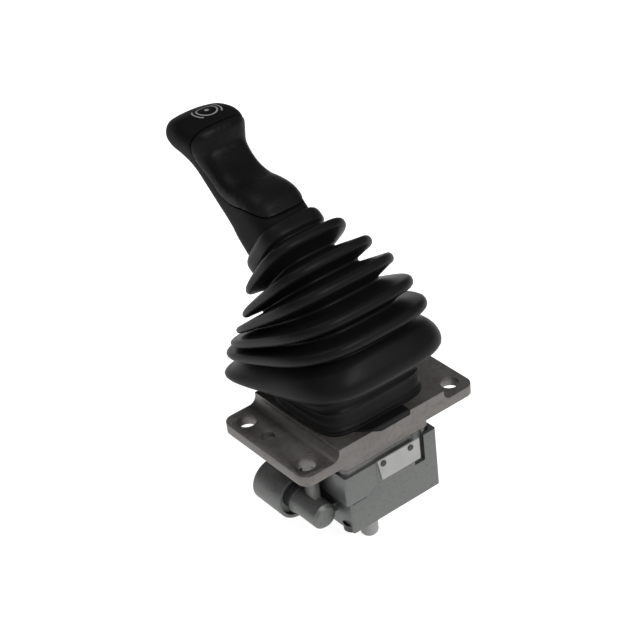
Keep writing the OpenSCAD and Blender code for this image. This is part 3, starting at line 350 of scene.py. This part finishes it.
rings = [ring(0, DECK + h, 0, NECK[0] + g, NECK[1] + g, NECK_SQUARE) for h, g in NECK_RINGS]
for rise, lean, narrow, inward, lift in SHOULDER_RINGS:
    rings.append(ring(0, DECK + NECK_TOP + rise, lean, NECK[0] - narrow, NECK[1] - narrow, NECK_SQUARE,
                      inward=inward, lift=lift))
for shift, da, db, square, inward, lift in SKIRT_RINGS:
    rings.append(fold_ring(0, shift, SKIRT[0] - da, SKIRT[1] - db, square, SKIRT_FADE, inward, lift))
for i in range(1, FOLDS + 1):
    a, b = [s - (s - t) * (i / FOLDS) ** FOLD_TAPER for s, t in zip(SKIRT, TOP_FOLD)]
    valley = (FOLD_AT[i - 1] + FOLD_AT[i]) / 2
    lift = FIRST_VALLEY_LIFT if i == 1 else 0
    for shift, d in VALLEY_RINGS:
        rings.append(fold_ring(valley, shift + lift, a - FOLD_DEPTH - d, b - FOLD_DEPTH - d, VALLEY_SQUARE,
                               VALLEY_FADE))
    for shift, d in TIP_RINGS:
        rings.append(fold_ring(FOLD_AT[i], shift, a - d, b - d, TIP_SQUARE, TIP_FADE))
for s, g in COLLAR_RINGS:
    at = FOOT + UP * (s - COLLAR_H) + FRONT * COLLAR_MID
    rings.append(ring(at.y, at.z, LEAN, GRIP_FOOT[0] + g, GRIP_FOOT[1] + g, COLLAR_SQUARE,
                      inward=g - COLLAR_GAP))


def worn_black(material, where, tone, worn):
    """The colour of black rubber or plastic, with a soft cloud of wear."""
    cloud = add(material, "ShaderNodeTexNoise", {"Vector": where, "Scale": lumps(WEAR_PATCH), "Detail": 4.0,
                                                 "Roughness": 0.6}).outputs["Fac"]
    return add(material, "ShaderNodeValToRGB", {"Fac": cloud}, ((0.35, tone), (0.75, worn))).outputs["Color"]


def moulded(material, where, tone, size, depth, dull, gloss=RUBBER_GLOSS):
    """Closes a rubber or plastic with a moulded skin: lumps of a given size, drawn as coarse as they
    need to show."""
    height = add(material, "ShaderNodeTexNoise", {"Vector": where, "Scale": lumps(size), "Detail": 2.0,
                                                  "Roughness": 0.5}).outputs["Fac"]
    skin = add(material, "ShaderNodeBump", {"Height": height, "Distance": depth * MM, "Strength": 0.5})
    return surface(material, {"Base Color": tone, "Roughness": dull, "IOR": RUBBER_IOR,
                              "Normal": skin.outputs["Normal"], "Specular IOR Level": gloss})


def patterned_rubber(name, tone, worn, size, depth, dull):
    """Black rubber or plastic with its wear and its skin."""
    material, where = new_material(name)
    return moulded(material, where, worn_black(material, where, tone, worn), size, depth, dull)


# Moulded rubber is a soft black that shows its folds by a faint sheen.
bellows_rubber = patterned_rubber("moulded_rubber", RUBBER, RUBBER_WORN, RUBBER_GRAIN, RUBBER_BUMP,
                                  RUBBER_DULL)
bm = bmesh.new()
low, high = loft(bm, [outer for outer, inner in rings] + [inner for outer, inner in reversed(rings)])
bmesh.ops.bridge_loops(bm, edges=low + high)
bmesh.ops.recalc_face_normals(bm, faces=bm.faces)
bellows = finished(bm, "rubber_bellows", bellows_rubber, "housing", ride=False,
                   smooth=180.0)
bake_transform(bellows)
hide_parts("bellows")

# Lip of the bellows
# The neck has a lip of the same rubber, moulded on. It lies on the deck and in its notch, ramp and
# all, and ends just behind the deck's front wall.
LIP_FRONT = -30.8
LIP_BACK = -25.4
LIP_WING = -17.0
LIP_LEFT = -10.6
LIP_RIGHT = 10.8
LIP_FOOT = 10.45
LIP_TOP = 11.3
LIP_EDGE = 0.4
LIP_OVERLAP = 0.2
NOTCH_BACK = -28.15
NOTCH_FLOOR = 8.15
RAMP_END = -5.8

on_deck = [(LIP_WING, LIP_BACK, LIP_FOOT), (LIP_LEFT, LIP_FRONT, LIP_FOOT), (LIP_RIGHT, LIP_FRONT, LIP_FOOT),
           (LIP_RIGHT, LIP_BACK, LIP_FOOT)]
in_notch = [(LIP_LEFT, LIP_FRONT, LIP_FOOT + LIP_OVERLAP), (RAMP_END, LIP_FRONT, NOTCH_FLOOR),
            (LIP_RIGHT, LIP_FRONT, NOTCH_FLOOR), (LIP_RIGHT, LIP_FRONT, LIP_FOOT + LIP_OVERLAP)]
bm = bmesh.new()
for outline, way in ((on_deck, (0, 0, LIP_TOP - LIP_FOOT)), (in_notch, (0, NOTCH_BACK - LIP_FRONT, 0))):
    flat = bm.faces.new([bm.verts.new(point) for point in outline])
    grown = bmesh.ops.extrude_face_region(bm, geom=[flat], use_keep_orig=True)["geom"]
    bmesh.ops.translate(bm, verts=of_kind(grown, bmesh.types.BMVert), vec=way)
bmesh.ops.recalc_face_normals(bm, faces=bm.faces)
upper = [e for e in bm.edges if max(v.co.z for v in e.verts) > LIP_TOP - 0.1]
rounded(bm, upper, LIP_EDGE, 3)
finished(bm, "bellows_lip", bellows_rubber, "housing")

# Grip
# A hollow moulding in black plastic, finely grained, with a wide head, and a leather-grained
# insert let into its front. Between them runs a groove, and both edges of it are rounded.
GRIP_SIDES = 96
GROOVE = 1.1
PROUD = 0.5
INSERT_T = 1.6
POCKET_GAP = 0.1
THINNEST = 0.5
PRISM_HALF = 30
BORE_R = 8.5
BORE_FOOT = -9.0
BORE_TOP = 59.6
TURNED_SIDES = 64
TURNED_WELD = 0.0005
CUT_WELD = 0.12
CUT_SLIVER = 0.02
CUT_ANGLE = 48
SHELL_EDGE = 0.35
INSERT_EDGE = 0.55
GRIP_BLACK = "121213"
GRIP_WORN = "171718"
GRIP_GRAIN = 0.7
GRIP_BUMP = 0.08
GRIP_DULL = 0.6
GRIP_GLOSS = 0.07
LEATHER_BLACK = "131212"
LEATHER_WORN = "1b1a1a"
LEATHER_GRAIN = 1.5
LEATHER_BUMP = 0.5
LEATHER_DULL = 0.42

# Sections across the grip: height up the stem, rear and front, half the width, how far the section
# tips forward in degrees, how square it is, and how much it narrows to its rear.
SECTION_STEPS = 5
SECTIONS = [
    (-8.0, -11.5, 21.9, 14.3, 0, 3.6, 0), (1.0, -11.5, 21.9, 14.3, 0, 3.6, 0),
    (6.0, -11.1, 22.6, 14.3, 0, 3.5, 0), (11.0, -10.7, 23.1, 14.2, 0, 3.4, 0),
    (16.0, -10.2, 21.7, 13.9, 0, 3.2, 0.02), (21.5, -9.9, 17.9, 13.4, 0, 3.2, 0.04),
    (27.0, -9.9, 13.4, 12.8, 0, 3.2, 0.05), (34.0, -9.8, 10.6, 12.3, 0, 3.2, 0.06),
    (41.0, -9.4, 10.4, 12.3, 0, 3.2, 0.08), (47.0, -9.2, 11.4, 13.2, 4, 3.1, 0.16),
    (51.5, -9.3, 14.2, 14.9, 10, 3.0, 0.22), (56.0, -9.7, 17.0, 16.6, 16, 2.9, 0.2),
    (60.5, -10.8, 18.4, 17.8, 21, 2.8, 0.15), (65.0, -11.0, 18.2, 17.6, 25, 2.7, 0.12),
    (68.6, -9.3, 16.6, 16.0, 28, 2.6, 0.12), (71.6, -6.1, 13.2, 12.6, 29, 2.4, 0.1),
    (73.0, -1.9, 8.2, 7.2, 29, 2.2, 0), (73.4, 1.2, 5.2, 2.2, 29, 2.0, 0)]
# The edge of the insert seen from the side, as places in front of the stem and heights up it.
INSERT_SIDE = [
    (34, 2.6), (23.4, 2.6), (22.5, 3.1), (21.8, 3.8), (21.2, 4.7), (20.6, 5.8), (19.9, 7.2), (18.8, 9.4),
    (17.0, 12.2), (14.0, 15.8), (10.0, 19.5), (7.2, 22.6), (5.0, 26.0), (3.4, 29.0), (2.8, 32.0), (2.8, 36.0),
    (2.7, 40.0), (2.4, 44.0), (2.6, 47.0), (3.8, 49.4), (6.0, 51.2), (9.0, 52.8), (13.0, 54.4), (19.0, 56.4),
    (24.0, 57.4), (34.0, 58.4)]


def on_grip(x, forward, rise):
    """A place on the grip, from its side, its front and its height up the stem."""
    return Vector((x, 0, 0)) + FOOT + FRONT * forward + UP * rise


def smooth_sections():
    """Sections between the given ones, on curves that pass through them."""
    out = []
    for i in range(len(SECTIONS) - 1):
        four = [SECTIONS[min(max(i + k, 0), len(SECTIONS) - 1)] for k in (-1, 0, 1, 2)]
        for n in range(SECTION_STEPS):
            t = n / SECTION_STEPS
            out.append([0.5 * (2 * b + (c - a) * t + (2 * a - 5 * b + 4 * c - d) * t * t
                               + (3 * b - a - 3 * c + d) * t ** 3) for a, b, c, d in zip(*four)])
    return out + [list(SECTIONS[-1])]


def grip_body(name, thinner):
    """The closed body of the grip, made thinner all round by a wall."""
    rings = []
    for rise, rear, front, half, tip, square, narrow in smooth_sections():
        middle = (rear + front) / 2
        deep = (front - rear) / 2 - thinner
        points = []
        if deep < THINNEST or half - thinner < THINNEST:
            continue
        for k in range(GRIP_SIDES):
            x, out = oval(half - thinner, deep, square, math.tau * k / GRIP_SIDES)
            x *= 1 - narrow * (1 + out / deep) / 2
            forward = -out * math.cos(math.radians(tip)) + middle
            points.append(on_grip(x, forward, rise + out * math.sin(math.radians(tip))))
        rings.append(points)
    bm = bmesh.new()
    low, high = loft(bm, rings)
    bmesh.ops.holes_fill(bm, edges=low + high, sides=0)
    bmesh.ops.recalc_face_normals(bm, faces=bm.faces)
    return plain(bm, name)


def side_prism(name, outline, grow):
    """An outline seen from the side, grown outward, and drawn out across the grip."""
    bm = bmesh.new()
    corners = [Vector(p) for p in outline]
    verts = []
    for i, here in enumerate(corners):
        before, after = corners[max(i - 1, 0)], corners[min(i + 1, len(corners) - 1)]
        way = (after - before).normalized()
        moved = here + Vector((-way.y, way.x)) * grow
        verts.append(bm.verts.new(on_grip(-PRISM_HALF, moved.x, moved.y)))
    face = bm.faces.new(verts)
    top = bmesh.ops.extrude_face_region(bm, geom=[face])["geom"]
    bmesh.ops.translate(bm, verts=of_kind(top, bmesh.types.BMVert), vec=(2 * PRISM_HALF, 0, 0))
    bmesh.ops.recalc_face_normals(bm, faces=bm.faces)
    return plain(bm, name)


def spun(name, profile, place):
    """A closed profile of radii and heights, turned round the Z axis and then put in its place."""
    bm = bmesh.new()
    line = [bm.verts.new((r, 0, z)) for r, z in profile]
    edges = [bm.edges.new((a, b)) for a, b in zip(line, line[1:] + line[:1])]
    bmesh.ops.spin(bm, geom=line + edges, cent=(0, 0, 0), axis=(0, 0, 1), angle=math.tau, steps=TURNED_SIDES,
                   use_merge=True)
    bmesh.ops.remove_doubles(bm, verts=bm.verts, dist=TURNED_WELD)
    bmesh.ops.dissolve_degenerate(bm, edges=bm.edges, dist=TURNED_WELD)
    bmesh.ops.transform(bm, matrix=place, verts=bm.verts)
    bmesh.ops.recalc_face_normals(bm, faces=bm.faces)
    return plain(bm, name)


def core_bore():
    """The bore that the sleeve on the stem fills."""
    place = Matrix.Translation(FOOT) @ Matrix.Rotation(-math.radians(LEAN), 4, "X")
    return spun("bore", [(0, BORE_FOOT), (BORE_R, BORE_FOOT), (BORE_R, BORE_TOP), (0, BORE_TOP)], place)


def carved(piece, tool, how):
    """Cuts or keeps what a tool covers of a piece. The tool is used up."""
    cut = piece.modifiers.new("cut", "BOOLEAN")
    cut.operation = how
    cut.object = tool
    cut.solver = "EXACT"
    bpy.context.view_layer.update()
    done = bpy.data.meshes.new_from_object(piece.evaluated_get(bpy.context.evaluated_depsgraph_get()))
    piece.modifiers.clear()
    piece.data = done
    bpy.data.objects.remove(tool)
    return piece


def opened(source):
    """The bmesh of a bare object, which is used up."""
    bm = bmesh.new()
    bm.from_mesh(source.data)
    bpy.data.objects.remove(source)
    return bm


def grip_piece(source, name, material, edge):
    """Rounds the cut edges of a carved body and finishes it as a piece of the grip."""
    bm = opened(source)
    bmesh.ops.remove_doubles(bm, verts=bm.verts, dist=CUT_WELD * MM)
    bmesh.ops.dissolve_degenerate(bm, edges=bm.edges, dist=CUT_SLIVER * MM)
    rounded(bm, sharp_edges(bm, CUT_ANGLE), edge * MM)
    return finished(bm, name, material, "grip", scale=1.0, smooth=50.0)


# The sign printed on the grip's head, in pale grey: its middle, how far its face tips forward in
# degrees, the radii of its ring, its side arcs and its dot, and the width of its lines. An arc stays
# where more than SIGN_SPREAD of its radius lies sideways, and nothing is printed under the face.
SIGN_AT = on_grip(1.5, 12.6, 66.2)
SIGN_TIP = 48.0
SIGN_RING = 4.9
SIGN_ARC = 6.9
SIGN_DOT = 1.1
SIGN_LINE = 0.72
SIGN_SPREAD = 0.72
SIGN_UNDER = -5.0
SIGN_GREY = "a9a9a9"


def sign_mask(material, where):
    """One where the printed sign is: a ring with an arc on each side of it and a dot inside. It is
    worked out in steps from the place across (x), along (y) and over (z) the sign's face."""
    tip = math.radians(SIGN_TIP)
    normal = UP * math.cos(tip) + FRONT * math.sin(tip)
    along = UP * math.sin(tip) - FRONT * math.cos(tip)
    away = add(material, "ShaderNodeVectorMath", {0: where, 1: SIGN_AT * MM}, operation="SUBTRACT").outputs[0]
    step = {}
    for name, way in (("x", Vector((1, 0, 0))), ("y", along), ("z", normal)):
        step[name] = add(material, "ShaderNodeVectorMath", {0: away, 1: way / MM},
                         operation="DOT_PRODUCT").outputs["Value"]
    for name, how, first, second in (
            ("x squared", "MULTIPLY", "x", "x"), ("y squared", "MULTIPLY", "y", "y"),
            ("squares", "ADD", "x squared", "y squared"), ("radius", "SQRT", "squares", 0.0),
            ("past ring", "SUBTRACT", "radius", SIGN_RING), ("off ring", "ABSOLUTE", "past ring", 0.0),
            ("ring", "LESS_THAN", "off ring", SIGN_LINE / 2),
            ("past arc", "SUBTRACT", "radius", SIGN_ARC), ("off arc", "ABSOLUTE", "past arc", 0.0),
            ("arc", "LESS_THAN", "off arc", SIGN_LINE / 2),
            ("sideways", "ABSOLUTE", "x", 0.0), ("spread", "MULTIPLY", "radius", SIGN_SPREAD),
            ("beside", "GREATER_THAN", "sideways", "spread"), ("side arcs", "MULTIPLY", "arc", "beside"),
            ("dot", "LESS_THAN", "radius", SIGN_DOT), ("ring and dot", "MAXIMUM", "ring", "dot"),
            ("marks", "MAXIMUM", "ring and dot", "side arcs"), ("on face", "GREATER_THAN", "z", SIGN_UNDER),
            ("mask", "MULTIPLY", "marks", "on face")):
        step[name] = add(material, "ShaderNodeMath", {0: step[first], 1: step.get(second, second)},
                         operation=how).outputs[0]
    return step["mask"]


# Grained nylon is a dull charcoal black, and the leather grain of the insert catches more light.
grip_skin, where = new_material("grained_nylon")
nylon = worn_black(grip_skin, where, GRIP_BLACK, GRIP_WORN)
printed = add(grip_skin, "ShaderNodeMix", {0: sign_mask(grip_skin, where), 6: nylon, 7: colour(SIGN_GREY)},
              data_type="RGBA").outputs[2]
moulded(grip_skin, where, printed, GRIP_GRAIN, GRIP_BUMP, GRIP_DULL, GRIP_GLOSS)
leather_skin = patterned_rubber("leather_grained_nylon", LEATHER_BLACK, LEATHER_WORN, LEATHER_GRAIN,
                                LEATHER_BUMP, LEATHER_DULL)

pocket = side_prism("pocket", INSERT_SIDE, GROOVE)
pocket = carved(pocket, grip_body("inner", INSERT_T + POCKET_GAP), "DIFFERENCE")
shell = carved(carved(grip_body("shell", 0.0), pocket, "DIFFERENCE"), core_bore(), "DIFFERENCE")
shell = grip_piece(shell, "grip_moulding", grip_skin, SHELL_EDGE)
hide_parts("grip_shell")
front = carved(grip_body("front", -PROUD), side_prism("prism", INSERT_SIDE, 0.0), "INTERSECT")
front = carved(carved(front, grip_body("inner", INSERT_T), "DIFFERENCE"), core_bore(), "DIFFERENCE")
front = grip_piece(front, "grip_front_insert", leather_skin, INSERT_EDGE)
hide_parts("grip_insert")

# White parts
# The name plate is sheet in satin enamel, bare and riveted to the body. The exhaust nozzle is
# moulded in white nylon, pressed into the underside at the front left corner, with a rounded mouth.
ENAMEL_GREY = "b6b6b3"
ENAMEL_LIGHT = "c0bfbd"
ENAMEL_PATCH = 5.0
NYLON_GREY = "a3a4a2"
NYLON_LIGHT = "adaeac"
NYLON_PATCH = 4.0
NOZZLE = (-14.6, -26.0, -39.2)
MOUTH = [(2.0, -9.0), (2.7, -9.0), (3.5, -8.6), (4.05, -7.9), (4.3, -7.0), (4.3, -0.02), (2.48, -0.02),
         (2.48, 4.6), (0.0, 4.6), (0.0, 0.0), (2.0, 0.0)]


def soft_white(name, tone, light, patch, inputs):
    """A pale material with faint patches of a given size, and the rest of its inputs."""
    material, where = new_material(name)
    cloud = add(material, "ShaderNodeTexNoise", {"Vector": where, "Scale": lumps(patch), "Detail": 2.0,
                                                 "Roughness": 0.5}).outputs["Fac"]
    base = add(material, "ShaderNodeValToRGB", {"Fac": cloud}, ((0.35, tone), (0.65, light)))
    return surface(material, {"Base Color": base.outputs["Color"], **inputs})


# Satin enamel is even and a little glossy, and white nylon lets some light in, which softens it.
enamel = soft_white("satin_enamel", ENAMEL_GREY, ENAMEL_LIGHT, ENAMEL_PATCH, {"Roughness": 0.42})
paint_node("name_plate", enamel)
white_nylon = soft_white("white_nylon", NYLON_GREY, NYLON_LIGHT, NYLON_PATCH,
                         {"Roughness": 0.45, "Subsurface Weight": 0.1, "Subsurface Scale": MM})
bm = opened(spun("exhaust_mouth", MOUTH, Matrix.Translation(NOZZLE)))
nozzle = finished(bm, "nylon_nozzle", white_nylon, "housing", scale=1.0, smooth=40.0)
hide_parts("exhaust_nozzle")

# Steel, bronze and seals
# Pins, rods and screws are ground or zinc plated, springs and rings are oiled black steel, the
# lever is cast iron, pistons and caps are turned aluminium, bushes are sintered bronze.
MACHINED_METAL = 0.95


def machined(name, tone, worn, dull, size, depth):
    """Bare metal with a fine finish of marks of a given size, drawn as coarse as they need to show."""
    material, where = new_material(name)
    marks = add(material, "ShaderNodeTexNoise", {"Vector": where, "Scale": lumps(size), "Detail": 3.0,
                                                 "Roughness": 0.6}).outputs["Fac"]
    base = add(material, "ShaderNodeValToRGB", {"Fac": marks}, ((0.35, tone), (0.65, worn))).outputs["Color"]
    rough = add(material, "ShaderNodeMapRange", {"Value": marks, "To Min": dull - 0.08, "To Max": dull + 0.1})
    skin = add(material, "ShaderNodeBump", {"Height": marks, "Distance": depth * MM, "Strength": 0.4})
    return surface(material, {"Base Color": base, "Metallic": MACHINED_METAL,
                              "Roughness": rough.outputs["Result"], "Normal": skin.outputs["Normal"]})


# Ground steel and turned aluminium are bright, zinc plate is a softer grey, blackened and oiled
# steel are dark with a low gloss, and sintered bronze is brown and open-grained. Seals are black.
ground_steel = machined("ground_steel", "9c9ca0", "b2b2b6", 0.3, 2.0, 0.01)
zinc_plate = machined("zinc_plate", "85868a", "a0a1a4", 0.38, 3.0, 0.02)
black_steel = machined("blackened_steel", "3a3a3c", "4a4a4c", 0.42, 2.0, 0.01)
spring_wire = machined("oiled_spring_wire", "55555a", "6e6e73", 0.36, 2.0, 0.01)
turned_aluminium = machined("turned_aluminium", "a5a6a9", "bcbdc0", 0.32, 1.2, 0.02)
sintered_bronze = machined("sintered_bronze", "80602f", "a07c44", 0.45, 0.4, 0.04)
cast_iron = cast_metal("cast_iron", "606063", "48484b", 0.9)
seal_rubber = patterned_rubber("seal_rubber", "0f0f10", "161617", 0.6, 0.02, 0.5)
gasket_sheet = patterned_rubber("gasket_sheet", "191919", "232322", 0.5, 0.04, 0.8)
FINISHES = {
    ground_steel: ["pivot_pin", "lever_stem", "release_rod", "tappet"],
    zinc_plate: ["grip_core"],
    black_steel: ["housing_screws", "plate_rivets"],
    spring_wire: ["pin_circlips", "stem_screw", "stem_circlip", "return_spring", "grip_spring",
                  "graduating_spring", "valve_spring", "retainer_circlip", "side_spring", "side_circlip"],
    turned_aluminium: ["graduating_piston", "valve_retainer", "side_piston", "side_cap"],
    sintered_bronze: ["hub_bushes", "tappet_guide"],
    cast_iron: ["cam_lever"],
    seal_rubber: ["piston_seal", "inlet_valve", "side_seal"],
    gasket_sheet: ["flange_gasket", "seal_plate"]}
for finish, names in FINISHES.items():
    for name in names:
        paint_node(name, finish)

# Studio
# The camera stands where the photo's camera stood. The floor is plain and pale, and soft lamps
# light the object from above and from both sides.
CAMERA_AT = Vector((-0.397825, -0.560139, 0.509201))
CAMERA_RIGHT = Vector((0.7803, -0.6181, -0.0970))
CAMERA_DOWN = Vector((-0.4092, -0.3867, -0.8265))
LENS = 104.71
FLOOR_Z = -0.0487
FLOOR_SIZE = 6.0
FLOOR_GLOW = 0.86
AIR = 0.2
LAMP_AIM = Vector((0, 0, 0.04))

eye = bpy.data.cameras.new("camera")
eye.lens = LENS
eye.sensor_width = 36
eye.clip_end = 20
camera = bpy.data.objects.new("camera", eye)
scene.collection.objects.link(camera)
right = CAMERA_RIGHT.normalized()
up = (-CAMERA_DOWN).normalized()
back = right.cross(up).normalized()
up = back.cross(right)
camera.matrix_world = Matrix.Translation(CAMERA_AT) @ Matrix((right, up, back)).transposed().to_4x4()
scene.camera = camera


def backdrop_rays(material):
    """One for the rays that show the backdrop: the camera's, and those in gloss and glass."""
    path = add(material, "ShaderNodeLightPath").outputs
    shown = path["Is Camera Ray"]
    for kind in ("Is Glossy Ray", "Is Transmission Ray"):
        shown = add(material, "ShaderNodeMath", {0: shown, 1: path[kind]}, operation="MAXIMUM").outputs[0]
    return shown


# The floor glows for those rays alone, so that it comes out as pale as the photo's backdrop and
# throws little light on the object.
bm = bmesh.new()
bmesh.ops.create_grid(bm, x_segments=1, y_segments=1, size=FLOOR_SIZE)
bmesh.ops.translate(bm, verts=bm.verts, vec=(0, 0, FLOOR_Z))
floor = plain(bm, "floor", 1.0)
floor_paint = cleared(bpy.data.materials.new("floor_paint"))
diffuse = add(floor_paint, "ShaderNodeBsdfDiffuse", {"Color": colour("f4f4f4")}).outputs[0]
glow = add(floor_paint, "ShaderNodeEmission", {"Color": colour("ffffff"), "Strength": FLOOR_GLOW}).outputs[0]
both = add(floor_paint, "ShaderNodeAddShader", {0: diffuse, 1: glow}).outputs[0]
seen = add(floor_paint, "ShaderNodeMixShader", {0: backdrop_rays(floor_paint), 1: diffuse, 2: both})
add(floor_paint, "ShaderNodeOutputMaterial", {"Surface": seen.outputs[0]})
floor.data.materials.append(floor_paint)

world = cleared(bpy.data.worlds.new("studio_air"))
scene.world = world
air = add(world, "ShaderNodeLightPath").outputs["Is Camera Ray"]
bright = add(world, "ShaderNodeMapRange", {"Value": air, "To Min": AIR, "To Max": 1.0}).outputs["Result"]
sky = add(world, "ShaderNodeBackground", {"Color": colour("ffffff"), "Strength": bright})
add(world, "ShaderNodeOutputWorld", {"Surface": sky.outputs[0]})


def lamp(name, place, size, power):
    """A soft square lamp that faces the object."""
    light = bpy.data.lights.new(name, "AREA")
    light.shape = "SQUARE"
    light.size = size
    light.energy = power
    made = bpy.data.objects.new(name, light)
    scene.collection.objects.link(made)
    made.location = place
    made.rotation_euler = (Vector(place) - LAMP_AIM).to_track_quat("Z", "Y").to_euler()


lamp("key_lamp", (0.1, -0.85, 0.78), 0.4, 6)
lamp("fill_lamp", (-0.9, -0.5, 0.6), 0.5, 0.5)
lamp("top_lamp", (-0.2, 0.3, 0.95), 0.5, 1.5)
scene.view_settings.view_transform = "Standard"
